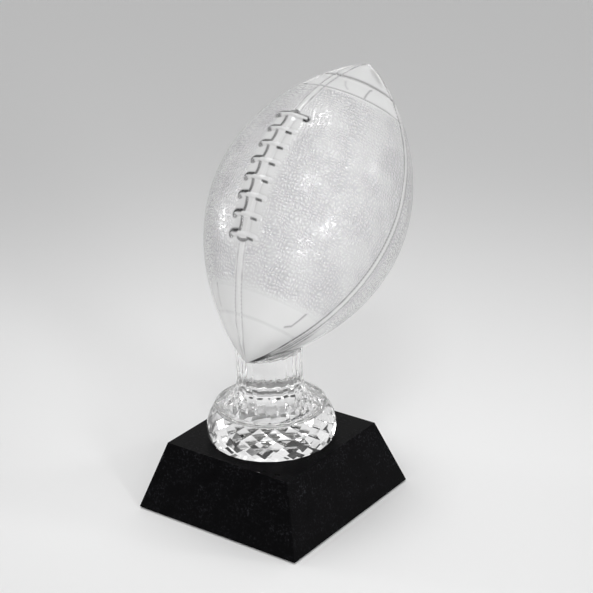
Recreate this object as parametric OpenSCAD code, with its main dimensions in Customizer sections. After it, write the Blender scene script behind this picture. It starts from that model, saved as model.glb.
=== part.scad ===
// A clear glass American football that leans back on a fluted glass stem.
// The stem stands on a diamond-cut glass foot, and the foot on a tapered black marble plinth.
// +Z is up, the origin is the middle of the felt's underside, and the lacing faces -Y.

/* [Plinth] */
// Side of the marble plinth along its lower edge
plinth_w = 127; // [90:1:180]
// Side of the plinth along its upper edge
plinth_top_w = 97; // [88:1:120]
// Height of the marble
plinth_h = 45; // [20:1:80]
// Thickness of the felt underneath
felt_t = 1; // [0.5:0.1:3]
// How far the felt stays inside the plinth's lower edge
felt_inset = 3; // [1:0.5:10]

/* [Bonds] */
// Thickness of the adhesive sheet that holds the felt
sheet_t = 0.2; // [0.1:0.05:0.5]
// Thickness of the white bed under the foot and of each clear film between the glass pieces
film_t = 0.2; // [0.1:0.05:0.5]
// How far a film stays inside the edge of the face that it bonds
film_inset = 0.5; // [0.2:0.1:2]

/* [Cut foot] */
// Diameter of the foot across its widest corners
foot_d = 85; // [60:0.5:87]
// Number of lozenges in one row around the foot
foot_facets = 24; // [16:2:32]
// Height from one ring of facet corners to the next
facet_pitch = 3.6; // [2.5:0.1:5]
// Height of the round girdle above the facets
girdle_h = 0.6; // [0.4:0.1:4]
// How far the girdle stays inside the corners of the topmost facets
girdle_inset = 0.3; // [0.2:0.05:1]

/* [Stem] */
// Diameter of the stem at its waist, across the corners of its flats
stem_d = 42.5; // [30:0.5:48]
// Height from the foot up to the ball, on the stem's axis
stem_h = 34.6; // [28:0.1:60]
// Number of long flats cut around the stem
stem_flats = 16; // [8:2:24]
// Height of the round rim at the stem's lower edge
rim_h = 0.5; // [0.4:0.1:3]
// Width of the level ledge that the rim leaves around the flats
rim_ledge = 0.7; // [0.3:0.1:2]
// How sharply the flare opens towards the rim
flare_power = 4.2; // [2:0.1:5]
// How far the cut glass is turned from square with the plinth, in degrees
glass_turn = 3.4; // [0:0.1:10]

/* [Football] */
// Length of the ball from tip to tip
ball_l = 215; // [150:1:230]
// Diameter of the ball at its middle
ball_d = 129; // [90:1:140]
// Fullness of the ball's outline, where 1 is a parabola and a smaller value is blunter
fullness = 0.84; // [0.7:0.01:1]
// Lean of the ball's long axis from upright, in degrees
lean = 41.5; // [30:0.5:50]
// Turn of the ball about its own long axis, in degrees
ball_turn = 1.3; // [-10:0.1:10]
// Where the ball rests over the stem's axis, as a part of its half length below the middle
seat_part = 0.87; // [0.84:0.005:0.89]
// Thickness of the hollow ball's glass wall
wall_t = 5; // [3:0.5:8]

/* [Lacing] */
// Number of cross laces
laces = 8; // [6:1:10]
// Distance from one cross lace to the next
lace_pitch = 11.75; // [10:0.05:13]
// How far the lacing's middle lies below the ball's middle
lace_drop = 0.7; // [-6:0.1:6]
// Length of a cross lace
lace_w = 21; // [12:0.5:26]
// Length of the wide cross lace at the upper end
top_lace_w = 23.5; // [14:0.5:28]
// Diameter of a cross lace's rounded body
lace_d = 3.4; // [2:0.1:4]
// How far a cross lace stands out of the glass
lace_rise = 1.6; // [1:0.1:2.6]
// Diameter of each of the two cords that run under the cross laces
cord_d = 3.3; // [2:0.1:4]
// Distance between the middles of those two cords
cord_gap = 3; // [2.2:0.1:5]
// How far the cords stand out of the glass
cord_rise = 1; // [0.6:0.1:2]

/* [Hidden] */

// Steps in a full turn, and steps along the ball's outline from tip to tip
round_steps = 96;
outline_steps = 48;
// Steps up the stem's curved flare, and the height of each step above it
flare_steps = 20;
upper_step = 3;
// Rings of corners above the foot's base, and the ring where the foot is widest
facet_rings = 6;
widest_ring = 2;

// Levels, from the table up
adhesive_z = felt_t;
plinth_z = adhesive_z + sheet_t;
foot_bond_z = plinth_z + plinth_h;
foot_z = foot_bond_z + film_t;
facets_h = facet_rings * facet_pitch;
foot_h = facets_h + girdle_h;
stem_bond_z = foot_z + foot_h;
stem_z = stem_bond_z + film_t;
seat_z = stem_z + stem_h;

felt_w = plinth_w - 2 * felt_inset;
plinth_slope = atan((plinth_w - plinth_top_w) / 2 / plinth_h);

// The foot's corner rings follow a cosine, which puts the four corners of every lozenge in one
// plane: each ring's corners stand half a step round from those above and below.
half_step = 180 / foot_facets;
function foot_ring_r(i) = foot_d / 2 * cos((i - widest_ring) * half_step);
girdle_d = 2 * (foot_ring_r(facet_rings) - girdle_inset);

// The stem's flats flare out from the waist down to the rim, and open slightly towards the ball
waist_z = 0.77 * stem_h;
saddle_rise = 11.5;
stem_top_z = stem_h + saddle_rise;
stem_rim_r = girdle_d / 2 - rim_ledge;
top_flare = 0.35;
function flare(z) = pow(max(0, 1 - (z - rim_h) / (waist_z - rim_h)), flare_power);
function top_opening(z) = top_flare * pow(max(0, z - waist_z) / (stem_h - waist_z), 2);
function stem_r(z) = stem_d / 2 + (stem_rim_r - stem_d / 2) * flare(z) + top_opening(z);

// The ball's outline, and the place of its middle worked out from the point that it rests on
half_l = ball_l / 2;
ball_r = ball_d / 2;
// The wall is thicker inside the tips, as it is in moulded glass
tip_wall_t = 1.6 * wall_t;
function outline_r(s) = ball_r * pow(1 - pow(s / half_l, 2), fullness);
function outline_slope(s) = atan((outline_r(s + 0.5) - outline_r(s - 0.5)));
seat_s = -seat_part * half_l;
seat_r = outline_r(seat_s);
ball_y = -(seat_s * sin(lean) + seat_r * cos(lean));
ball_z = seat_z - (seat_s * cos(lean) - seat_r * sin(lean));

marble = [0.045, 0.045, 0.048];
felt = [0.06, 0.06, 0.065];
sheet = [0.75, 0.72, 0.62];
film = [0.86, 0.9, 0.9, 0.5];
epoxy = [0.8, 0.8, 0.79];
glass = [0.86, 0.9, 0.92, 0.35];

// A solid whose corners lie on level rings of equal-sided polygons. rings holds [radius, height]
// pairs from the bottom up. With a stagger of 1, every second ring is turned by half a step.
module ringed_solid(rings, sides, stagger) {
    last = len(rings) - 1;
    function corner(i, k) = i * sides + k % sides;
    function angle(i, k) = (k + stagger * (i % 2) / 2) * 360 / sides;
    points = [for (i = [0:last], k = [0:sides - 1])
        [rings[i][0] * cos(angle(i, k)), rings[i][0] * sin(angle(i, k)), rings[i][1]]];
    // The diagonal of each four-cornered patch follows the stagger
    lift = [for (i = [0:last]) stagger * (i % 2)];
    side_faces = [for (i = [0:last - 1], k = [0:sides - 1], half = [0:1])
        lift[i] == 0
            ? (half == 0 ? [corner(i, k), corner(i + 1, k), corner(i, k + 1)]
                         : [corner(i, k + 1), corner(i + 1, k), corner(i + 1, k + 1)])
            : (half == 0 ? [corner(i, k), corner(i + 1, k + 1), corner(i, k + 1)]
                         : [corner(i, k), corner(i + 1, k), corner(i + 1, k + 1)])];
    bottom = [for (k = [0:sides - 1]) k];
    top = [for (k = [sides - 1:-1:0]) corner(last, k)];
    polyhedron(points, concat([bottom], side_faces, [top]));
}

// Stands the children in the ball's own frame: its long axis is Z, and the lacing is at -Y
module in_ball_frame() {
    translate([0, ball_y, ball_z])
        rotate([-lean, 0, 0])
            rotate([0, 0, ball_turn])
                children();
}

// The ball's solid outline, grown outwards or, with a negative value, shrunk inwards
module ball_solid(grow, tip_grow) {
    rotate_extrude($fn = round_steps)
        polygon([for (i = [0:outline_steps])
            let (a = 180 * i / outline_steps)
            [(ball_r + grow) * pow(sin(a), 2 * fullness), (half_l + tip_grow) * cos(a)]]);
}

// Stands the children on the lace seam, at a distance s from the ball's middle along its axis.
// There X runs across the seam, Y along it, and Z out of the glass.
module on_lace_seam(s) {
    translate([0, -outline_r(s), s])
        rotate([90 + outline_slope(s), 0, 0])
            children();
}

// A rounded bar that lies across the seam
module cross_lace(length) {
    straight = length - lace_d;
    translate([-straight / 2, 0, 0])
        rotate([0, 90, 0])
            cylinder(h = straight, d = lace_d, $fn = 32);
    for (side = [-1, 1])
        translate([side * straight / 2, 0, 0])
            sphere(d = lace_d, $fn = 32);
}

function lace_s(i) = (i - (laces - 1) / 2) * lace_pitch - lace_drop;

// One straight stretch of a cord, between two neighbouring cross laces
module cord_stretch(i, side) {
    s_mid = (lace_s(i) + lace_s(i + 1)) / 2;
    run = lace_pitch / cos(outline_slope(s_mid));
    on_lace_seam(s_mid)
        translate([side * cord_gap / 2, run / 2, cord_rise - cord_d / 2])
            rotate([90, 0, 0])
                cylinder(h = run, d = cord_d, $fn = 32);
}

module lacing() {
    for (i = [0:laces - 1])
        on_lace_seam(lace_s(i))
            translate([0, 0, lace_rise - lace_d / 2])
                cross_lace(i == laces - 1 ? top_lace_w : lace_w);
    for (i = [0:laces - 2], side = [-1, 1])
        cord_stretch(i, side);
}

module felt_pad() {
    color(felt)
        linear_extrude(felt_t)
            square(felt_w, center = true);
}

module felt_adhesive() {
    color(sheet)
        translate([0, 0, adhesive_z])
            linear_extrude(sheet_t)
                square(felt_w, center = true);
}

// A square block with its four sides cut back by leaning planes
module plinth() {
    color(marble)
        translate([0, 0, plinth_z])
            difference() {
                linear_extrude(plinth_h)
                    square(plinth_w, center = true);
                for (side = [0:3])
                    rotate([0, 0, 90 * side])
                        translate([plinth_w / 2, 0, 0])
                            rotate([0, -plinth_slope, 0])
                                translate([0, -plinth_w, -plinth_h])
                                    cube([plinth_w, 2 * plinth_w, 3 * plinth_h]);
            }
}

// A bed of white epoxy, which shows through the foot
module foot_bond() {
    color(epoxy)
        translate([0, 0, foot_bond_z])
            cylinder(h = film_t, r = foot_ring_r(0) - 2 * film_inset, $fn = round_steps);
}

// A drum cut with staggered rows of lozenges, under a plain round girdle
module cut_foot() {
    rings = [for (i = [0:facet_rings]) [foot_ring_r(i), i * facet_pitch]];
    color(glass)
        translate([0, 0, foot_z])
            rotate([0, 0, glass_turn + half_step]) {
                ringed_solid(rings, foot_facets, 1);
                translate([0, 0, facets_h])
                    cylinder(h = girdle_h, d = girdle_d, $fn = round_steps);
            }
}

module stem_bond() {
    color(film)
        translate([0, 0, stem_bond_z])
            cylinder(h = film_t, r = girdle_d / 2 - film_inset, $fn = round_steps);
}

// The stem before its top is cut to fit the ball
module stem_blank() {
    flare_rings = [for (i = [0:flare_steps])
        let (z = rim_h + (waist_z - rim_h) * i / flare_steps) [stem_r(z), z]];
    upper_rings = [for (z = [waist_z + upper_step:upper_step:stem_top_z]) [stem_r(z), z]];
    rotate([0, 0, glass_turn + 180 / stem_flats]) {
        ringed_solid(concat(flare_rings, upper_rings), stem_flats, 0);
        cylinder(h = rim_h, d = girdle_d, $fn = round_steps);
    }
}

module stem() {
    color(glass)
        difference() {
            translate([0, 0, stem_z])
                stem_blank();
            in_ball_frame()
                ball_solid(film_t, film_t);
        }
}

// The film that fills the joint between the stem's saddle and the ball
module ball_bond() {
    color(film)
        difference() {
            intersection() {
                translate([0, 0, stem_z])
                    stem_blank();
                in_ball_frame()
                    ball_solid(film_t, film_t);
            }
            in_ball_frame()
                ball_solid(0, 0);
        }
}

module football() {
    color(glass)
        in_ball_frame()
            difference() {
                union() {
                    ball_solid(0, 0);
                    lacing();
                }
                ball_solid(-wall_t, -tip_wall_t);
            }
}

felt_pad();
felt_adhesive();
plinth();
foot_bond();
cut_foot();
stem_bond();
stem();
ball_bond();
football();
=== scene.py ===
"""A clear glass American football on a fluted stem, a diamond-cut foot and a black marble plinth."""
import math

import bmesh
import bpy
import numpy as np
from mathutils import Matrix, Vector, noise


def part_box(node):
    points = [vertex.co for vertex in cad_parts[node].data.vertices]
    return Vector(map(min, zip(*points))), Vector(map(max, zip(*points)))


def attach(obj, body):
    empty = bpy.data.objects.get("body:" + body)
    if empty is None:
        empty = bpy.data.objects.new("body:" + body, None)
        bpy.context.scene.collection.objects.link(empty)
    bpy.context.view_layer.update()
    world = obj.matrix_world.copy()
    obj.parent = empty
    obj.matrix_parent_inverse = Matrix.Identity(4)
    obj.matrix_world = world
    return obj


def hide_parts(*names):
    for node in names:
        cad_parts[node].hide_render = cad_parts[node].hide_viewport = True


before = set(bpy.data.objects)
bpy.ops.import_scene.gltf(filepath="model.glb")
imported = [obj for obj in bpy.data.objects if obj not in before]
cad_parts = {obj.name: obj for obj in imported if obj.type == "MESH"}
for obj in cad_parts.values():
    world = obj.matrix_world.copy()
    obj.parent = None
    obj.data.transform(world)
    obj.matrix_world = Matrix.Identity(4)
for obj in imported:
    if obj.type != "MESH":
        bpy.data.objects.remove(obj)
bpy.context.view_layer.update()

# ---------------------------------------------------------------- sizes, in millimetres
MM = 0.001

# The ball, as the frame has it
BALL_L = 215.0
BALL_D = 129.0
FULLNESS = 0.84
LEAN = 41.5
BALL_TURN = 1.3
SEAT_PART = 0.87
WALL = 5.0
TIP_WALL = 1.6 * WALL
HALF_L = BALL_L / 2
BALL_R = BALL_D / 2

# The cut glass
STEM_D = 42.5
STEM_FLATS = 16
FLARE_POWER = 4.2
RIM_H = 0.5
GLASS_TURN = 3.4
FOOT_FACETS = 24
FACET_RINGS = 6
WIDEST_RING = 2
FACET_PITCH = 3.6


def node_box(node):
    """The node's lowest and highest corners, in millimetres."""
    low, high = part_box(node)
    return Vector(low) / MM, Vector(high) / MM


FOOT_LOW, FOOT_HIGH = node_box("cut_foot")
STEM_LOW = node_box("stem")[0]
FOOT_R = 85.0 / 2
FOOT_Z = FOOT_LOW.z
GIRDLE_Z = FOOT_HIGH.z
STEM_Z = STEM_LOW.z
STEM_H = 34.6
SEAT_Z = STEM_Z + STEM_H
WAIST_Z = 0.77 * STEM_H


def outline_r(s):
    """The ball's radius at a distance s from its middle, along its long axis."""
    return BALL_R * np.power(np.clip(1 - (s / HALF_L) ** 2, 0, 1), FULLNESS)


lean = math.radians(LEAN)
seat_s = -SEAT_PART * HALF_L
seat_r = float(outline_r(seat_s))
BALL_Y = -(seat_s * math.sin(lean) + seat_r * math.cos(lean))
BALL_Z = SEAT_Z - (seat_s * math.cos(lean) - seat_r * math.sin(lean))

# Takes a point from the ball's own frame, with its long axis as Z and the lacing at -Y
BALL_FRAME = (Matrix.Translation((0, BALL_Y, BALL_Z)) @ Matrix.Rotation(-lean, 4, "X")
              @ Matrix.Rotation(math.radians(BALL_TURN), 4, "Z"))


# ---------------------------------------------------------------- small helpers
def linear(hex_colour):
    """An sRGB hex colour as linear red, green, blue and alpha."""
    parts = [int(hex_colour[i:i + 2], 16) / 255 for i in (1, 3, 5)]
    return [c / 12.92 if c <= 0.04045 else ((c + 0.055) / 1.055) ** 2.4 for c in parts] + [1.0]


def add_node(tree, kind, settings=None, inputs=None, links=None):
    """Adds a node, sets its properties and sockets, and links sockets to other nodes' outputs."""
    node = tree.nodes.new(kind)
    for name, value in (settings or {}).items():
        setattr(node, name, value)
    for name, value in (inputs or {}).items():
        node.inputs[name].default_value = value
    for name, source in (links or {}).items():
        tree.links.new(source, node.inputs[name])
    return node


def new_material(name):
    """An empty material's tree and its Principled shader."""
    material = bpy.data.materials.new(name)
    material.use_nodes = True
    tree = material.node_tree
    return material, tree, tree.nodes["Principled BSDF"]


def mesh_piece(name, verts, faces, material, smooth):
    """A mesh object from points in metres, shaded smooth or flat."""
    mesh = bpy.data.meshes.new(name)
    mesh.from_pydata([tuple(v) for v in verts], [], faces)
    mesh.materials.append(material)
    mesh.polygons.foreach_set("use_smooth", [smooth] * len(mesh.polygons))
    mesh.update()
    piece = bpy.data.objects.new(name, mesh)
    bpy.context.scene.collection.objects.link(piece)
    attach(piece, "root")
    return piece


# ---------------------------------------------------------------- materials
# Pebbles on the ball's panels: distance between their rows, height, and how far rows wander
PEBBLE_ROW = 2.1
PEBBLE_H = 0.55
PEBBLE_DRIFT = 5.0
# Lengths over which the rows wander and the pressing gets weaker and stronger
DRIFT_LENGTH = 10.0
PRESSING_LENGTH = 20.0
# How much of the ball's body is clear, the rest being milky
BALL_CLARITY = 0.55


def white_epoxy():
    """White epoxy, cured cloudy: a pale mottled bed that lights the foot from below."""
    material, tree, shader = new_material("white epoxy")
    place = add_node(tree, "ShaderNodeTexCoord")
    cloud = add_node(tree, "ShaderNodeTexNoise", None, {"Scale": 1 / (6 * MM), "Detail": 3.0},
                     {"Vector": place.outputs["Object"]})
    shade = add_node(tree, "ShaderNodeValToRGB", None, None, {"Fac": cloud.outputs["Fac"]})
    shade.color_ramp.elements[0].color = linear("#ECECEA")
    shade.color_ramp.elements[1].color = linear("#FAFAF8")
    tree.links.new(shade.outputs["Color"], shader.inputs["Base Color"])
    shader.inputs["Roughness"].default_value = 0.5
    return material


def clear_glass(name, ior, clear=1.0):
    """Fire-polished clear glass: colourless and quite smooth. The base of each glass finish here."""
    material, tree, shader = new_material(name)
    shader.inputs["Base Color"].default_value = linear("#FCFCFC")
    shader.inputs["Transmission Weight"].default_value = clear
    shader.inputs["Roughness"].default_value = 0.0
    shader.inputs["IOR"].default_value = ior
    return material, tree, shader


def moulded_ball_glass():
    """Pressed glass with a milky cast: rounded, slightly uneven pebbles on its panels, smooth
    bands and seams. Shade is painted into its colour: the pebbles' hollows a little darker,
    and the creases near black, since no light leaves the glass there. The fire-polished skin
    is a thin coat, which gives soft bright glints."""
    material, tree, shader = clear_glass("moulded clear glass", 1.5, BALL_CLARITY)
    rows = add_node(tree, "ShaderNodeUVMap", {"uv_map": "pebble rows"})
    drift = add_node(tree, "ShaderNodeTexNoise", {"noise_dimensions": "2D"},
                     {"Scale": 1 / DRIFT_LENGTH, "Detail": 2.0}, {"Vector": rows.outputs["UV"]})
    wander = add_node(tree, "ShaderNodeVectorMath", {"operation": "MULTIPLY_ADD"},
                      {1: (PEBBLE_DRIFT, PEBBLE_DRIFT, 0)},
                      {0: drift.outputs["Color"], 2: rows.outputs["UV"]})
    pebble = add_node(tree, "ShaderNodeTexVoronoi",
                      {"voronoi_dimensions": "2D", "feature": "SMOOTH_F1"},
                      {"Scale": 1 / PEBBLE_ROW, "Smoothness": 0.4, "Randomness": 0.5},
                      {"Vector": wander.outputs["Vector"]})
    hollow = add_node(tree, "ShaderNodeMapRange", {"interpolation_type": "SMOOTHSTEP"},
                      {"From Min": 0.0, "From Max": 0.55, "To Min": 0.0, "To Max": 1.0},
                      {"Value": pebble.outputs["Distance"]})
    panel = add_node(tree, "ShaderNodeAttribute", {"attribute_name": "pebbled"})
    patchy = add_node(tree, "ShaderNodeTexNoise", {"noise_dimensions": "2D"},
                      {"Scale": 1 / PRESSING_LENGTH, "Detail": 3.0}, {"Vector": rows.outputs["UV"]})
    worn = add_node(tree, "ShaderNodeMapRange", None,
                    {"From Min": 0.35, "From Max": 0.65, "To Min": 0.55, "To Max": 1.0},
                    {"Value": patchy.outputs["Fac"]})
    pressed = add_node(tree, "ShaderNodeMath", {"operation": "MULTIPLY"}, None,
                       {0: panel.outputs["Fac"], 1: worn.outputs[0]})
    relief = add_node(tree, "ShaderNodeMath", {"operation": "MULTIPLY"}, None,
                      {0: hollow.outputs[0], 1: pressed.outputs[0]})
    bump = add_node(tree, "ShaderNodeBump", {"invert": True},
                    {"Strength": 1.0, "Distance": PEBBLE_H * MM}, {"Height": relief.outputs[0]})
    tree.links.new(bump.outputs["Normal"], shader.inputs["Normal"])
    # Painted shade: the pebbles' hollows are coloured a little darker than their tops
    shade = add_node(tree, "ShaderNodeMix", {"data_type": "RGBA"}, None,
                     {"Factor": relief.outputs[0]})
    shade.inputs["A"].default_value = linear("#FFFFFF")
    shade.inputs["B"].default_value = linear("#E3E3E5")
    # Painted shade: creases, seam and lace edges and the stem joint are coloured near black
    painted_shade = add_node(tree, "ShaderNodeAttribute", {"attribute_name": "painted_shade"})
    painted_shade_tint = add_node(tree, "ShaderNodeMix", {"data_type": "RGBA"}, None,
                    {"Factor": painted_shade.outputs["Fac"]})
    tree.links.new(shade.outputs["Result"], painted_shade_tint.inputs["A"])
    painted_shade_tint.inputs["B"].default_value = linear("#0A0A0B")
    tree.links.new(painted_shade_tint.outputs["Result"], shader.inputs["Base Color"])
    shader.inputs["Roughness"].default_value = 0.1
    tree.links.new(bump.outputs["Normal"], shader.inputs["Coat Normal"])
    shader.inputs["Coat Weight"].default_value = 0.6
    shader.inputs["Coat Roughness"].default_value = 0.22
    shader.inputs["Coat IOR"].default_value = 1.55
    return material


def etched_inner_wall():
    """Acid-etched glass: the hollow's wall is satin, so the ball reads pale and hides its far side."""
    material, tree, shader = clear_glass("acid-etched inner wall", 1.5)
    place = add_node(tree, "ShaderNodeTexCoord")
    cloud = add_node(tree, "ShaderNodeTexNoise", None, {"Scale": 1 / (18 * MM), "Detail": 2.0},
                     {"Vector": place.outputs["Object"]})
    etch = add_node(tree, "ShaderNodeMapRange", None,
                    {"From Min": 0.3, "From Max": 0.7, "To Min": 0.3, "To Max": 0.4},
                    {"Value": cloud.outputs["Fac"]})
    tree.links.new(etch.outputs[0], shader.inputs["Roughness"])
    return material


def cut_glass(name):
    """Lead crystal, cut on the wheel and polished: flat facets with a faint polishing ripple."""
    material, tree, shader = clear_glass(name, 1.54)
    place = add_node(tree, "ShaderNodeTexCoord")
    ripple = add_node(tree, "ShaderNodeTexNoise", None, {"Scale": 1 / (9 * MM), "Detail": 1.0},
                      {"Vector": place.outputs["Object"]})
    bump = add_node(tree, "ShaderNodeBump", None, {"Strength": 0.15, "Distance": 0.1 * MM},
                    {"Height": ripple.outputs["Fac"]})
    tree.links.new(bump.outputs["Normal"], shader.inputs["Normal"])
    return material


def honed_black_marble():
    """Honed black marble: nearly black, with a soft sheen, and grey flecks gathered in faint clouds.
    The flecks are drawn coarser than real ones, so that they show."""
    material, tree, shader = new_material("honed black marble")
    place = add_node(tree, "ShaderNodeTexCoord")
    at = place.outputs["Object"]
    cloud = add_node(tree, "ShaderNodeTexNoise", None,
                     {"Scale": 1 / (14 * MM), "Detail": 6.0, "Roughness": 0.65}, {"Vector": at})
    fleck = add_node(tree, "ShaderNodeTexNoise", None,
                     {"Scale": 1 / (1.6 * MM), "Detail": 3.0, "Roughness": 0.7}, {"Vector": at})
    speck = add_node(tree, "ShaderNodeMapRange", None,
                     {"From Min": 0.52, "From Max": 0.78, "To Min": 0.0, "To Max": 1.0},
                     {"Value": fleck.outputs["Fac"]})
    zone = add_node(tree, "ShaderNodeMapRange", None,
                    {"From Min": 0.4, "From Max": 0.65}, {"Value": cloud.outputs["Fac"]})
    amount = add_node(tree, "ShaderNodeMath", {"operation": "MULTIPLY"}, None,
                      {0: speck.outputs[0], 1: zone.outputs[0]})
    colour = add_node(tree, "ShaderNodeMix", {"data_type": "RGBA"}, None,
                      {"Factor": amount.outputs[0]})
    colour.inputs["A"].default_value = linear("#040405")
    colour.inputs["B"].default_value = linear("#323236")
    tree.links.new(colour.outputs["Result"], shader.inputs["Base Color"])
    sheen = add_node(tree, "ShaderNodeMapRange", None,
                     {"From Min": 0.3, "From Max": 0.7, "To Min": 0.26, "To Max": 0.42},
                     {"Value": cloud.outputs["Fac"]})
    tree.links.new(sheen.outputs[0], shader.inputs["Roughness"])
    bump = add_node(tree, "ShaderNodeBump", None, {"Strength": 0.2, "Distance": 0.05 * MM},
                    {"Height": fleck.outputs["Fac"]})
    tree.links.new(bump.outputs["Normal"], shader.inputs["Normal"])
    shader.inputs["IOR"].default_value = 1.5
    shader.inputs["Specular IOR Level"].default_value = 0.035
    return material


def wool_felt():
    """Pressed wool felt: black, matt, with a short tangled pile, drawn coarser than it is."""
    material, tree, shader = new_material("black wool felt")
    place = add_node(tree, "ShaderNodeTexCoord")
    fibre = add_node(tree, "ShaderNodeTexNoise", None,
                     {"Scale": 1 / (0.5 * MM), "Detail": 4.0, "Distortion": 1.5},
                     {"Vector": place.outputs["Object"]})
    shade = add_node(tree, "ShaderNodeValToRGB", None, None, {"Fac": fibre.outputs["Fac"]})
    shade.color_ramp.elements[0].color = linear("#0B0B0C")
    shade.color_ramp.elements[1].color = linear("#2A2A2C")
    tree.links.new(shade.outputs["Color"], shader.inputs["Base Color"])
    bump = add_node(tree, "ShaderNodeBump", None, {"Strength": 0.6, "Distance": 0.2 * MM},
                    {"Height": fibre.outputs["Fac"]})
    tree.links.new(bump.outputs["Normal"], shader.inputs["Normal"])
    shader.inputs["Roughness"].default_value = 0.95
    shader.inputs["Sheen Weight"].default_value = 0.3
    return material


def adhesive_tissue():
    """Double-sided adhesive tissue: a yellowish, slightly mottled sheet."""
    material, tree, shader = new_material("adhesive tissue")
    place = add_node(tree, "ShaderNodeTexCoord")
    mottle = add_node(tree, "ShaderNodeTexNoise", None, {"Scale": 1 / (2 * MM), "Detail": 3.0},
                      {"Vector": place.outputs["Object"]})
    shade = add_node(tree, "ShaderNodeValToRGB", None, None, {"Fac": mottle.outputs["Fac"]})
    shade.color_ramp.elements[0].color = linear("#CFC8AE")
    shade.color_ramp.elements[1].color = linear("#E6E0CC")
    tree.links.new(shade.outputs["Color"], shader.inputs["Base Color"])
    shader.inputs["Roughness"].default_value = 0.6
    return material


def cured_film():
    """Ultraviolet-cured acrylic: water-clear, with a few pin-point bubbles."""
    material, tree, shader = new_material("cured clear adhesive")
    place = add_node(tree, "ShaderNodeTexCoord")
    bubble = add_node(tree, "ShaderNodeTexVoronoi", None, {"Scale": 1 / (5 * MM)},
                      {"Vector": place.outputs["Object"]})
    solid = add_node(tree, "ShaderNodeMapRange", None,
                     {"From Min": 0.0, "From Max": 0.06, "To Min": 0.25, "To Max": 0.03},
                     {"Value": bubble.outputs["Distance"]})
    tree.links.new(solid.outputs[0], shader.inputs["Alpha"])
    shader.inputs["Base Color"].default_value = linear("#F4F7F7")
    shader.inputs["Roughness"].default_value = 0.15
    return material


BALL_GLASS = moulded_ball_glass()
EPOXY = white_epoxy()
ETCHED_GLASS = etched_inner_wall()
STEM_GLASS = cut_glass("polished stem glass")
FOOT_GLASS = cut_glass("diamond-cut glass")
MARBLE = honed_black_marble()
FELT = wool_felt()
TISSUE = adhesive_tissue()
FILM = cured_film()


# ---------------------------------------------------------------- football
# Lacing, stripe bands and seams, as places on the ball: s along its axis, u across from a seam
LACES = 8
LACE_PITCH = 11.75
LACE_DROP = 0.7
LACE_W = 21.0
TOP_LACE_W = 23.5
LACE_HALF = 1.6
LACE_RISE = 1.3
LACE_BOW = 1.0
LACE_S = [(i - (LACES - 1) / 2) * LACE_PITCH - LACE_DROP for i in range(LACES)]
# The pair of cords under the laces, as one ribbed strip that draws in between two laces
STRIP_LEFT = -4.3
STRIP_RIGHT = 3.2
STRIP_DRAW_IN = 1.4
STRIP_RISE = 0.7
STRIP_TOP = 3.9
STRIP_FOOT = 3.0
# A seam is a low bead between two narrow creases
SEAM_HALF = 2.3
SEAM_BEAD = 0.3
SEAM_CREASE = 0.6
SIDE_SEAM_CREASE = 0.72
# The ball's radius from which a seam has its full width
SEAM_FULL_R = 24
# Between these distances below the middle, the side seams get dark streaks of painted shade
STREAKS_FROM = 62
STREAKS_TO = 86
# The stripe bands lie between these distances from the ball's middle
BAND_INNER = 70.3
BAND_OUTER = 84.5
# The lines that bound the bands: place, half width, depth and how dark their painted shade is
BAND_LINES = ((BAND_OUTER, 1.2, 0.5, 0.68), (BAND_INNER, 0.6, 0.25, 0.75),
              (-BAND_OUTER, 0.5, 0.2, 0.28), (-BAND_INNER, 0.4, 0.1, 0.08))
# Ends of the bands' inlaid patches, as lines of (degrees from the lace seam, s)
PATCH_ENDS = (((42, 71.2), (43.2, 75), (46, 79.5), (48.5, 80.6)),
              ((68.5, -70.5), (67.4, -75.5), (65.8, -79.8), (60, -81.8)),
              ((-29.5, -70.5), (-30.3, -76), (-30.6, -82)))
FAINT_PATCH_END = ((17, 79.8), (20, 76), (24, 73.5))


# How far the hollow's wall wanders in and out, and over what length
WALL_WAVE = 0.25
WALL_WAVE_LENGTH = 24.0
# Rings and columns of points on the ball's outer skin
SKIN_ROWS = 330
SKIN_COLUMNS = 290


def step(x, low, high):
    """Rises smoothly from 0 at low to 1 at high."""
    x = np.clip((x - low) / (high - low), 0, 1)
    return x * x * (3 - 2 * x)


def line(distance, half):
    """1 on a line, falling smoothly to 0 over about its half width."""
    return np.exp(-(distance / half) ** 2)


def graded(low, high, count, marks):
    """Places from low to high that lie closer together over the marks: (from, to, weight)."""
    fine = np.linspace(low, high, 6001)
    density = np.ones_like(fine)
    soft = (high - low) / 150
    for start, end, weight in marks:
        away = np.maximum(start - fine, 0) + np.maximum(fine - end, 0)
        density = np.maximum(density, 1 + weight * line(away, soft))
    total = np.concatenate([[0], np.cumsum((density[1:] + density[:-1]) / 2)])
    return np.interp(np.linspace(0, total[-1], count), total, fine)


def to_path(x, y, path):
    """Distance from points to a path of straight stretches."""
    nearest = np.full(np.shape(x), 1e9)
    for (ax, ay), (bx, by) in zip(path, path[1:]):
        dx, dy = bx - ax, by - ay
        along = np.clip(((x - ax) * dx + (y - ay) * dy) / (dx * dx + dy * dy), 0, 1)
        nearest = np.minimum(nearest, np.hypot(x - ax - along * dx, y - ay - along * dy))
    return nearest


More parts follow.
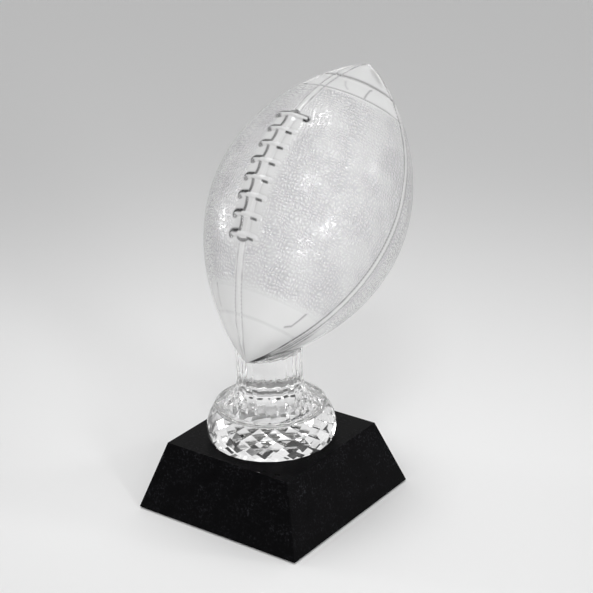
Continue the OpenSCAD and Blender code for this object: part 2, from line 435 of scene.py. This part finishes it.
def add_seams(rise, painted_shade, s, g, r):
    """Four seams, whose creases are bitten by the pebble rows and close up at the tips.
    Painted shade darkens the creases, and adds dark streaks by the side seams low on the ball.
    """
    half = SEAM_HALF * np.clip(r / SEAM_FULL_R, 0.12, 1)
    laced = step(s, LACE_S[0] - 5, LACE_S[0] - 2) * (1 - step(s, LACE_S[-1] + 2, LACE_S[-1] + 5))
    bite = np.sin(2 * math.pi * s / PEBBLE_ROW)
    for quarter in range(4):
        turn = (g - quarter * math.pi / 2 + math.pi) % (2 * math.pi) - math.pi
        u = r * turn
        here = (1 - laced if quarter == 0 else 1.0) * np.clip(r / 6, 0, 1)
        rise = rise + here * SEAM_BEAD * np.clip(1 - (u / half) ** 2, 0, 1)
        crease_w = SIDE_SEAM_CREASE if quarter else SEAM_CREASE
        cut = here * (line(u - half, crease_w) + line(u + half, crease_w))
        rise = rise - 0.4 * cut
        # Painted shade in the creases: how dark, with the pebble rows biting it
        shade_amount = np.where(s > LACE_S[-1], 0.6, 0.34) * (0.7 + 0.3 * bite)
        if quarter:
            low_end = step(-s, STREAKS_FROM, STREAKS_TO)
            shade_amount = (0.8 + 0.2 * bite) * (0.75 + 0.35 * low_end)
            painted_streaks = line(u - 2.2 * half, 0.7) + line(u + 0.2 * half, 0.5)
            cut = cut + 0.8 * here * low_end * painted_streaks
        painted_shade = np.maximum(painted_shade, np.clip(shade_amount * cut, 0, 1))
    return rise, painted_shade


def add_bands(rise, painted_shade, s, g, r):
    """Crease lines that bound the two stripe bands, and the ends of their patches, each with
    painted shade in it.
    """
    rows = 0.7 + 0.3 * np.sin(2 * math.pi * g * BALL_R / PEBBLE_ROW)
    for place, half, depth, shade_amount in BAND_LINES:
        cut = line(s - place, half)
        rise = rise - depth * cut
        painted_shade = np.maximum(painted_shade, shade_amount * cut * (rows if half < 1 else 1))
    rise = rise + 0.25 * line(s - BAND_OUTER + 2.4, 0.9)
    for path, shade_amount in [(p, 0.55) for p in PATCH_ENDS] + [(FAINT_PATCH_END, 0.22)]:
        place_r = float(outline_r(path[1][1]))
        away = to_path(g * place_r, s, [(math.radians(a) * place_r, b) for a, b in path])
        cut = line(away, 0.6)
        rise = rise - 0.3 * cut
        painted_shade = np.maximum(painted_shade, shade_amount * cut)
    return rise, painted_shade


def add_lacing(rise, painted_shade, u, s):
    """A ribbed strip along the seam, crossed by eight bowed laces with rounded ends. Painted
    shade darkens the strip's left edge and the laces' edges, strongly on their left halves,
    which face away from the light, and only in short dashes under their right ends.
    """
    phase = np.clip((s - LACE_S[0]) / LACE_PITCH, 0, LACES - 1)
    in_cell = phase % 1.0
    left = STRIP_LEFT + STRIP_DRAW_IN * np.sin(math.pi * in_cell) ** 0.8
    beyond = np.maximum(s - LACE_S[-1], 0) / STRIP_TOP + np.maximum(LACE_S[0] - s, 0) / STRIP_FOOT
    middle = (left + STRIP_RIGHT) / 2
    half = (STRIP_RIGHT - left) / 2
    out = np.hypot((u - middle) / half, beyond)
    low_right = 1 - 0.75 * step(u, 0.5, 3.0)
    strip = STRIP_RISE * low_right * np.power(np.clip(1 - out ** 2, 0, 1), 0.4)
    strip = strip - 0.1 * line(u - 0.3, 0.45) * (out < 1)
    edge = line((out - 1) * half, 0.95)
    shown = step(in_cell, 0.1, 0.2) * (1 - step(in_cell, 0.86, 0.96))
    # Painted shade along the strip's edge: dark on its left side, away from the light
    shade_amount = np.where(u < middle, 0.97 - 0.2 * in_cell, 0.06) * shown
    shade_amount = np.where(beyond > 0, 0.8 * step(beyond, 0.3, 0.8), shade_amount)
    raised = strip
    lacing_shade = shade_amount * np.clip(2.3 * edge, 0, 1)
    rise = rise - 0.35 * edge * (np.abs(s) < LACE_S[-1] + 6)
    for i, place in enumerate(LACE_S):
        top = i == LACES - 1
        reach = (TOP_LACE_W if top else LACE_W) / 2 - LACE_HALF
        across = s - place - 0.5 + LACE_BOW * (u / 11) ** 2
        past_end = np.maximum(np.abs(u) - reach, 0)
        away = np.hypot(past_end, across)
        bar = np.sqrt(np.clip(1 - (away / LACE_HALF) ** 2, 0, 1))
        lace = (LACE_RISE + 0.4 * line(u, 4)) * (1 - (0.3 if top else 0.72) * step(u, 0, 4)) * bar
        rim = line(away - LACE_HALF - 0.1, 0.95)
        # Painted shade round each lace: strong on its left half, a short dash under its right end
        upper = step(across, -0.6, 0.6)
        at_left = 1 - step(u, -5.0, -3.4)
        at_right = step(u, 2.2, 3.2)
        shade_amount = at_left * (1.0 * upper + 0.75 * (1 - upper) * (1 - step(u, -9.5, -7.0)))
        shade_amount = shade_amount + at_right * (0.04 * upper + 0.95 * (1 - upper) * (1 - step(u, 6.6, 7.8)))
        if top:
            shade_amount = np.where(u > 0, 0.85 * upper + step(u, 7.6, 9), np.maximum(shade_amount, 0.5 * upper))
        rise = rise - 0.3 * rim * (np.abs(u) > 3)
        lacing_shade = np.where(lace > 0.05, np.where(lace > 0.9, 0, lacing_shade), lacing_shade)
        fine = line(away - LACE_HALF - 0.1, 0.65)
        shade_line = np.where(u > 2, 1.7 * fine, 2.4 * rim)
        lacing_shade = np.maximum(lacing_shade, np.clip(shade_amount, 0, 1) * np.clip(shade_line, 0, 1))
        raised = np.maximum(raised, lace)
    return np.where(raised > 0, raised, rise), np.maximum(painted_shade, lacing_shade)


def add_joint_shade(painted_shade, points):
    """Painted shade: a dark broken line on the ball round the rim of the cement under it."""
    from_axis = np.hypot(points[..., 0], points[..., 1])
    below = 1 - step(points[..., 2], SEAT_Z + 9, SEAT_Z + 13)
    broken = 0.75 + 0.25 * np.sin(9 * np.arctan2(points[..., 1], points[..., 0]))
    return np.maximum(painted_shade, 0.95 * below * broken * line(from_axis - STEM_D / 2 - 0.6, 1.1))


def ball_relief(s, g, r):
    """How far the skin stands out of the ball's plain outline, and how dark the painted
    shade in its creases is.
    """
    rise, painted_shade = add_seams(np.zeros_like(s), np.zeros_like(s), s, g, r)
    rise, painted_shade = add_bands(rise, painted_shade, s, g, r)
    u = r * g
    near = (np.abs(u) < 16) & (np.abs(s) < 50)
    laced_rise, laced_crease = add_lacing(rise[near], painted_shade[near], u[near], s[near])
    rise[near] = laced_rise
    painted_shade[near] = laced_crease
    return rise, painted_shade


def ball_skin(radius, half_l, stations, turns):
    """Points of a ball-shaped skin in its own frame, ring by ring, with their outward slopes."""
    s, g = np.meshgrid(stations, turns, indexing="ij")
    r = radius * np.power(1 - (s / half_l) ** 2, FULLNESS)
    slope = -radius * FULLNESS * np.power(1 - (s / half_l) ** 2, FULLNESS - 1) * 2 * s / half_l ** 2
    return s, g, r, slope


def placed_on_skin(s, g, r, slope, rise):
    """Moves the skin's points out along its slope."""
    out = rise / np.sqrt(1 + slope ** 2)
    return np.stack([(r + out) * np.sin(g), -(r + out) * np.cos(g), s - out * slope], axis=-1)


def skin_faces(rings, columns, first, low_tip, high_tip, outward):
    """Quads between rings and fans at the tips."""
    faces = []
    for i in range(rings - 1):
        for k in range(columns):
            a = first + i * columns + k
            b = first + i * columns + (k + 1) % columns
            faces.append((a, b, b + columns, a + columns))
    for k in range(columns):
        a = first + k
        b = first + (k + 1) % columns
        faces.append((low_tip, b, a))
        last = (rings - 1) * columns
        faces.append((high_tip, a + last, b + last))
    return faces if outward else [tuple(reversed(f)) for f in faces]


def football():
    """One closed shell of glass: the relief outside, a slightly wavy satin wall inside."""
    s_marks = [(LACE_S[0] - 4, LACE_S[-1] + 5, 3.2), (BAND_INNER - 1, BAND_OUTER + 2, 2.2),
               (-BAND_OUTER - 1, -BAND_INNER + 1, 1.2)]
    tip = HALF_L - 0.05
    stations = graded(-tip, tip, SKIN_ROWS, s_marks)
    g_marks = [(-13 / BALL_R, 13 / BALL_R, 4.2), (math.radians(15), math.radians(70), 1.2)]
    g_marks += [(q * math.pi / 2 - 0.05, q * math.pi / 2 + 0.05, 3.5) for q in (-2, -1, 1, 2)]
    turns = graded(-math.pi, math.pi, SKIN_COLUMNS + 1, g_marks)[:-1]
    s, g, r, slope = ball_skin(BALL_R, HALF_L, stations, turns)
    rise, painted_shade = ball_relief(s, g, r)
    outer = placed_on_skin(s, g, r, slope, rise)
    inner_half = HALF_L - TIP_WALL
    inner_s = inner_half * np.sin(np.linspace(-math.pi / 2, math.pi / 2, 73))[1:-1]
    inner_g = np.linspace(-math.pi, math.pi, 97)[:-1]
    skin = ball_skin(BALL_R - WALL, inner_half, inner_s, inner_g)
    inner = placed_on_skin(*skin, np.zeros_like(skin[0]))
    for index in np.ndindex(inner.shape[:2]):
        point = Vector(inner[index])
        inner[index] += WALL_WAVE * noise.noise(point / WALL_WAVE_LENGTH) * np.array(point.normalized())
    tips = [[0, 0, end] for end in (-HALF_L, HALF_L, -inner_half, inner_half)]
    points = np.concatenate([outer.reshape(-1, 3), inner.reshape(-1, 3), tips])
    n_outer = SKIN_ROWS * SKIN_COLUMNS
    n_skins = n_outer + inner[..., 0].size
    outer_faces = skin_faces(SKIN_ROWS, SKIN_COLUMNS, 0, n_skins, n_skins + 1, True)
    inner_faces = skin_faces(*inner.shape[:2], n_outer, n_skins + 2, n_skins + 3, False)
    frame_of_ball = np.array(BALL_FRAME)
    placed = points @ frame_of_ball[:3, :3].T + frame_of_ball[:3, 3]
    painted_shade = add_joint_shade(painted_shade.ravel(), placed[:n_outer])
    placed = placed * MM
    piece = mesh_piece("glass_football", placed, outer_faces + inner_faces, BALL_GLASS,
                       True)
    piece.data.materials.append(ETCHED_GLASS)
    wall = [0] * len(outer_faces) + [1] * len(inner_faces)
    piece.data.polygons.foreach_set("material_index", wall)
    # Painted shade for the creases, seams, lacing and stem joint, one value for each outer point
    put_on_points(piece, "painted_shade", painted_shade)
    put_on_points(piece, "pebbled", pebbled(s, g, r, rise))
    lay_pebble_rows(piece, s, g, r)
    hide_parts("football")
    return piece


def put_on_points(piece, name, values):
    """Stores a value for each of the mesh's first points, and 0 for the rest."""
    filled = np.zeros(len(piece.data.vertices))
    filled[:values.size] = values.ravel()
    layer = piece.data.attributes.new(name, "FLOAT", "POINT")
    layer.data.foreach_set("value", filled)


def panel_turn(g):
    """The angle from the middle of the panel, which lies half way between two seams."""
    return (g % (math.pi / 2)) - math.pi / 4


def pebbled(s, g, r, rise):
    """1 on the pebbled panels, 0 on bands, seams and lacing."""
    body = step(s, -BAND_INNER - 2, -BAND_INNER + 6)
    body = body * (1 - step(s, BAND_INNER - 2.5, BAND_INNER - 1))
    to_seam = r * (math.pi / 4 - np.abs(panel_turn(g)))
    body = body * step(to_seam, SEAM_HALF + 0.3, SEAM_HALF + 1.8)
    beyond = np.maximum(np.abs(s - (LACE_S[0] + LACE_S[-1]) / 2) - (LACE_S[-1] - LACE_S[0]) / 2, 0)
    from_lacing = np.hypot(np.maximum(np.abs(r * g) - 7, 0), beyond)
    return body * step(from_lacing, 0, 8)


def lay_pebble_rows(piece, s, g, r):
    """Lays each panel flat as a UV map in millimetres, so that rows keep their spacing."""
    mesh = piece.data
    flat = np.zeros((len(mesh.vertices), 3))
    flat[:s.size] = np.stack([g.ravel(), s.ravel(), r.ravel()], axis=-1)
    corners = np.zeros(len(mesh.loops), dtype=int)
    mesh.loops.foreach_get("vertex_index", corners)
    owner = np.repeat(np.arange(len(mesh.polygons)), [p.loop_total for p in mesh.polygons])
    at = flat[corners]
    lead = at[np.searchsorted(owner, owner), 0]
    turn = at[:, 0] + 2 * math.pi * np.round((lead - at[:, 0]) / (2 * math.pi))
    middle_of_face = np.bincount(owner, turn) / np.bincount(owner)
    panel = np.floor(middle_of_face[owner] / (math.pi / 2)) * math.pi / 2 + math.pi / 4
    across = (turn - panel) * at[:, 2]
    rows = mesh.uv_layers.new(name="pebble rows")
    rows.data.foreach_set("uv", np.stack([across, at[:, 1]], axis=-1).ravel())


# ---------------------------------------------------------------- stem
def stem_r(z):
    """The stem's corner radius at a height above its lower face."""
    flare = max(0.0, 1 - (z - RIM_H) / (WAIST_Z - RIM_H)) ** FLARE_POWER
    opening = 0.35 * (max(0.0, z - WAIST_Z) / (STEM_H - WAIST_Z)) ** 2
    rim = girdle_r() - 0.7
    return STEM_D / 2 + (rim - STEM_D / 2) * flare + opening


def foot_ring_r(i):
    """The foot's corner radius at one of its rings of facet corners."""
    return FOOT_R * math.cos(math.radians((i - WIDEST_RING) * 180 / FOOT_FACETS))


def girdle_r():
    """The radius of the foot's round girdle, which the stem's rim matches."""
    return foot_ring_r(FACET_RINGS) - 0.3


def ball_underside(x, y, grow):
    """Height at which an upright line through x and y first meets the ball from below."""
    inverse = (Matrix.Translation((0, BALL_Y, BALL_Z)) @ Matrix.Rotation(-lean, 4, "X")).inverted()

    def inside(z):
        p = inverse @ Vector((x, y, z))
        if abs(p.z) >= HALF_L + grow:
            return False
        limit = (BALL_R + grow) * (1 - (p.z / (HALF_L + grow)) ** 2) ** FULLNESS
        return math.hypot(p.x, p.y) <= limit

    z = SEAT_Z - 8
    while not inside(z):
        z += 0.5
        if z > SEAT_Z + 14:
            return SEAT_Z + 11.5
    low, high = z - 0.5, z
    for _ in range(20):
        middle = (low + high) / 2
        low, high = (low, middle) if inside(middle) else (middle, high)
    return high


# Gap that keeps a polished face clear of the film it is bonded with, so that it mirrors
FACE_GAP = 0.01
EASE = 0.15
RIM_STEPS = 192
# Width of a flat's eased arris on each side, as a part of the flat, and how hollow the flat is
ARRIS = 0.05
SCOOP = 0.33
# Edges that turn by more than this many degrees are kept sharp
STEM_SHARP = 9
FOOT_SHARP = 3


def rim_ring(verts, radius, z):
    """Adds a level ring of points, and gives the number of its first point."""
    first = len(verts)
    for k in range(RIM_STEPS):
        a = math.radians(GLASS_TURN) + k * 2 * math.pi / RIM_STEPS
        verts.append((radius * math.cos(a), radius * math.sin(a), z))
    return first


def band_faces(low, high, count):
    """Quads between two rings with the same number of points."""
    return [(low + k, low + (k + 1) % count, high + (k + 1) % count, high + k)
            for k in range(count)]


def stem():
    """Sixteen flats that flare out to a round rim over a polished face, with a saddle for the
    ball. The face mirrors the ball's underside, as the film under it touches it only in spots."""
    per_flat = RIM_STEPS // STEM_FLATS
    columns = RIM_STEPS
    levels = 48
    turn = math.radians(GLASS_TURN)
    clear_of_ball = 0.22

    def side(k, z):
        """A point on the flats at a height above the stem's lower face."""
        flat, place = divmod(k - per_flat // 2, per_flat)
        part = place / per_flat
        if place in (1, per_flat - 1):
            part = ARRIS if place == 1 else 1 - ARRIS
        a = turn + (flat + 0.5) * 2 * math.pi / STEM_FLATS
        b = a + 2 * math.pi / STEM_FLATS
        r = stem_r(z)
        here = Vector((r * math.cos(a), r * math.sin(a)))
        there = Vector((r * math.cos(b), r * math.sin(b)))
        hollow = SCOOP * 4 * part * (1 - part)
        return here.lerp(there, part) * (1 - hollow / (STEM_D / 2))

    verts, faces = [], []
    tops = []
    for k in range(columns):
        edge = side(k, STEM_H)
        tops.append(ball_underside(edge.x, edge.y, clear_of_ball) - STEM_Z)
    for level in range(levels + 1):
        for k in range(columns):
            z = RIM_H + (tops[k] - RIM_H) * (level / levels) ** 1.3
            p = side(k, z)
            verts.append((p.x, p.y, STEM_Z + z))
        if level:
            faces += band_faces((level - 1) * columns, level * columns, columns)
    # The saddle, ring by ring in to its middle
    saddle_rings = 12
    before = levels * columns
    for ring in range(1, saddle_rings):
        part = 1 - ring / saddle_rings
        start = len(verts)
        for k in range(columns):
            p = side(k, tops[k]) * part
            verts.append((p.x, p.y, ball_underside(p.x, p.y, clear_of_ball)))
        faces += band_faces(before, start, columns)
        before = start
    verts.append((0, 0, ball_underside(0, 0, clear_of_ball)))
    middle = len(verts) - 1
    faces += [(before + k, before + (k + 1) % columns, middle) for k in range(columns)]
    # The round rim under the flats, with its edges eased
    r = girdle_r()
    face_z = STEM_Z + FACE_GAP
    rim = [rim_ring(verts, radius, z) for radius, z in
           ((r - EASE, face_z), (r, face_z + EASE), (r, STEM_Z + RIM_H - EASE),
            (r - EASE, STEM_Z + RIM_H))]
    faces.append(tuple(reversed(range(rim[0], rim[0] + RIM_STEPS))))
    for low, high in zip(rim, rim[1:] + [0]):
        faces += band_faces(low, high, RIM_STEPS)
    piece = mesh_piece("fluted_stem", [Vector(v) * MM for v in verts], faces,
                       STEM_GLASS, True)
    crisp(piece, STEM_SHARP)
    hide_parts("stem")
    return piece


def crisp(piece, degrees):
    """Keeps the cut edges sharp and the rest smooth."""
    mesh = bmesh.new()
    mesh.from_mesh(piece.data)
    bmesh.ops.recalc_face_normals(mesh, faces=mesh.faces)
    for edge in mesh.edges:
        if len(edge.link_faces) == 2 and edge.calc_face_angle(0) > math.radians(degrees):
            edge.smooth = False
    mesh.to_mesh(piece.data)
    mesh.free()


# ---------------------------------------------------------------- foot
def cut_foot():
    """Staggered rows of flat lozenges under a round girdle, between two polished faces. The
    lower one stands just clear of the white bed, so it mirrors the facets behind it."""
    verts, faces = [], []
    half = math.pi / FOOT_FACETS
    turn = math.radians(GLASS_TURN) + half
    n = FOOT_FACETS
    lift = 0.03
    for i in range(FACET_RINGS + 1):
        for k in range(n):
            a = turn + (2 * k + i % 2) * half
            r = foot_ring_r(i)
            z = FOOT_Z + max(lift, i * FACET_PITCH)
            verts.append((r * math.cos(a), r * math.sin(a), z))
    for i in range(FACET_RINGS + 1):
        shift = i % 2
        for k in range(n):
            left = i * n + k
            right = i * n + (k + 1) % n
            above = (i + 1) * n + (k + shift) % n
            below = (i - 1) * n + (k + shift) % n
            # A whole lozenge spans three rings, and halves close the lowest and topmost rows
            if 0 < i < FACET_RINGS:
                faces.append((below, right, above, left))
            elif i == 0:
                faces.append((left, right, above))
            else:
                faces.append((right, left, below))
    facets = len(faces)
    r = girdle_r()
    z_low = FOOT_Z + FACET_RINGS * FACET_PITCH
    face_z = GIRDLE_Z - FACE_GAP
    girdle = [rim_ring(verts, radius, z) for radius, z in
              ((r, z_low), (r, face_z - EASE), (r - EASE, face_z))]
    for low, high in zip(girdle, girdle[1:]):
        faces += band_faces(low, high, RIM_STEPS)
    # The narrow ledge between the topmost corners and the girdle
    per = RIM_STEPS // n
    top = FACET_RINGS * n
    for k in range(n):
        first = per // 2 + k * per
        corner, following = top + k, top + (k + 1) % n
        for j in range(per):
            a = girdle[0] + (first + j) % RIM_STEPS
            b = girdle[0] + (first + j + 1) % RIM_STEPS
            faces.append((corner if j < per / 2 else following, b, a))
        faces.append((corner, following, girdle[0] + (first + per // 2) % RIM_STEPS))
    faces.append(tuple(range(girdle[-1], girdle[-1] + RIM_STEPS)))
    faces.append(tuple(reversed(range(n))))
    piece = mesh_piece("diamond_cut_foot", [Vector(v) * MM for v in verts], faces,
                       FOOT_GLASS, False)
    round_faces = [facets <= i < facets + 2 * RIM_STEPS for i in range(len(faces))]
    piece.data.polygons.foreach_set("use_smooth", round_faces)
    crisp(piece, FOOT_SHARP)
    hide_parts("cut_foot")
    return piece


# ---------------------------------------------------------------- carried-over nodes
def dress(node, material):
    """Gives a CAD node its finish."""
    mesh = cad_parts[node].data
    mesh.materials.clear()
    mesh.materials.append(material)


def eased_plinth():
    """The marble block, with its arrises eased by a hand stone."""
    dress("plinth", MARBLE)
    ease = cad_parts["plinth"].modifiers.new("eased arrises", "BEVEL")
    ease.width = 0.5 * MM
    ease.segments = 3
    ease.limit_method = "ANGLE"
    ease.harden_normals = True


# ---------------------------------------------------------------- studio and camera
# Each lamp: name, azimuth and elevation in degrees, distance and width in metres, power in watts
LAMPS = (("left lamp", -71, 5, 1.3, 0.26, 0.24),
         ("front lamp", 35, 52, 1.6, 0.34, 0.38),
         ("low front lamp", 40, 5, 1.5, 0.28, 0.38),
         ("right lamp", 64, 14, 1.5, 0.24, 0.46),
         ("back lamp", -155, 78, 1.4, 0.36, 0.36),
         ("far right lamp", 121, 25, 1.4, 0.22, 0.19))
# A honeycomb grid on each lamp keeps its light off the floor beneath it: degrees across the beam
LAMP_SPREAD = 50
# The tent's brightness at the floor and overhead, from which height on it stays so, and its strength
TENT_LOW = 1.02
TENT_HIGH = 0.64
TENT_TOP = 0.75
TENT_STRENGTH = 0.96
# The floor's radius in metres: its far edge has to lie close to the horizon in low views
FLOOR_R = 40.0
# Black cloths hung round the table, in degrees: azimuth, elevation and half width
CLOTHS = ((-34, 10, 29), (137, 6, 29), (52, 6, 29), (-126, 12, 8), (-110, 11, 4), (-150, 11, 5),
          (-168, 13, 6), (-92, 11, 5), (-74, 11, 5))
# What a cloth lets through, and how far its edge is blurred, as a part of its half width
CLOTH_SHADE = 0.06
CLOTH_BLUR = 0.24
# The cloths' hems hang this many degrees above the floor, so that low views see the bare tent
HEM = (5.5, 8)


def towards(azimuth, elevation):
    """The direction from the object to an azimuth and elevation in degrees."""
    a, e = math.radians(azimuth), math.radians(elevation)
    return Vector((math.sin(a) * math.cos(e), -math.cos(a) * math.cos(e), math.sin(e)))


def surround():
    """A bright tent, dimmer overhead, with black cloths hung round it, clear of the floor."""
    world = bpy.data.worlds.new("surround")
    bpy.context.scene.world = world
    world.use_nodes = True
    tree = world.node_tree
    way = add_node(tree, "ShaderNodeTexCoord").outputs["Generated"]
    split = add_node(tree, "ShaderNodeSeparateXYZ", None, None, {"Vector": way})
    tent = add_node(tree, "ShaderNodeMapRange", None,
                    {"From Min": 0.0, "From Max": TENT_TOP, "To Min": TENT_LOW, "To Max": TENT_HIGH},
                    {"Value": split.outputs["Z"]}).outputs[0]
    cloths = tent
    for azimuth, elevation, half_width in CLOTHS:
        near = add_node(tree, "ShaderNodeVectorMath", {"operation": "DOT_PRODUCT"},
                        {1: towards(azimuth, elevation)}, {0: way})
        open_part = add_node(tree, "ShaderNodeMapRange", {"interpolation_type": "SMOOTHSTEP"},
                             {"From Min": math.cos(math.radians(half_width * (1 + CLOTH_BLUR))),
                              "From Max": math.cos(math.radians(half_width * (1 - CLOTH_BLUR))),
                              "To Min": 1.0, "To Max": CLOTH_SHADE},
                             {"Value": near.outputs["Value"]})
        cloths = add_node(tree, "ShaderNodeMath", {"operation": "MULTIPLY"}, None,
                          {0: cloths, 1: open_part.outputs[0]}).outputs[0]
    hung = add_node(tree, "ShaderNodeMapRange", {"interpolation_type": "SMOOTHSTEP"},
                    {"From Min": math.sin(math.radians(HEM[0])),
                     "From Max": math.sin(math.radians(HEM[1]))},
                    {"Value": split.outputs["Z"], "To Min": tent, "To Max": cloths})
    tree.links.new(hung.outputs[0], tree.nodes["Background"].inputs["Color"])
    tree.nodes["Background"].inputs["Strength"].default_value = TENT_STRENGTH


def studio():
    """A wide pale floor, and soft lamps that light the object and show as glints on the glass."""
    material, tree, shader = new_material("pale paper floor")
    shader.inputs["Base Color"].default_value = linear("#EAEAEA")
    shader.inputs["Roughness"].default_value = 0.9
    bpy.ops.mesh.primitive_circle_add(vertices=64, radius=FLOOR_R, fill_type="NGON")
    floor = bpy.context.object
    floor.name = "floor"
    floor.data.materials.append(material)
    middle = Vector((0, 0.03, 0.15))
    for name, azimuth, elevation, away, size, power in LAMPS:
        light = bpy.data.lights.new(name, "AREA")
        light.size = size
        light.energy = power
        light.spread = math.radians(LAMP_SPREAD)
        lamp = bpy.data.objects.new(name, light)
        lamp.location = middle + towards(azimuth, elevation) * away
        lamp.rotation_euler = towards(azimuth, elevation).to_track_quat("Z", "Y").to_euler()
        lamp.visible_camera = False
        bpy.context.scene.collection.objects.link(lamp)


# The camera, in the plinth's widths round the origin
PLINTH_W = 127.0
CAMERA_AZIMUTH = 36.912
CAMERA_ELEVATION = 22.754
CAMERA_ROLL = -1.756
CAMERA_DISTANCE = 8.312 * PLINTH_W
CAMERA_AIM = (0.148 * PLINTH_W, 1.122 * PLINTH_W)
FRAME_PX = 593
FOCAL_PX = 1663.9


def camera():
    """A long lens looking down at the trophy from its front right corner."""
    azimuth, elevation, roll = (math.radians(v) for v in
                                (CAMERA_AZIMUTH, CAMERA_ELEVATION, CAMERA_ROLL))
    back = Vector((math.sin(azimuth) * math.cos(elevation),
                   -math.cos(azimuth) * math.cos(elevation), math.sin(elevation)))
    right = Vector((math.cos(azimuth), math.sin(azimuth), 0))
    up = back.cross(right)
    aim = right * CAMERA_AIM[0] + Vector((0, 0, CAMERA_AIM[1]))
    right_r = right * math.cos(roll) + up * math.sin(roll)
    up_r = up * math.cos(roll) - right * math.sin(roll)
    data = bpy.data.cameras.new("camera")
    data.sensor_width = 36.0
    data.lens = FOCAL_PX / FRAME_PX * data.sensor_width
    data.clip_start = 0.05
    eye = bpy.data.objects.new("camera", data)
    turn = Matrix((right_r, up_r, back)).transposed().to_4x4()
    eye.matrix_world = Matrix.Translation((aim + back * CAMERA_DISTANCE) * MM) @ turn
    bpy.context.scene.collection.objects.link(eye)
    bpy.context.scene.camera = eye


camera()
surround()
studio()
football()
stem()
cut_foot()
eased_plinth()
dress("felt_pad", FELT)
dress("felt_adhesive", TISSUE)
dress("foot_bond", EPOXY)
for film in ("stem_bond", "ball_bond"):
    dress(film, FILM)

bpy.context.scene.view_settings.view_transform = "Standard"
# Light turns back many times inside cut glass before it leaves
bpy.context.scene.cycles.max_bounces = 32
bpy.context.scene.cycles.glossy_bounces = 24
bpy.context.scene.cycles.transmission_bounces = 32
bpy.context.scene.cycles.diffuse_bounces = 6

bpy.context.view_layer.update()
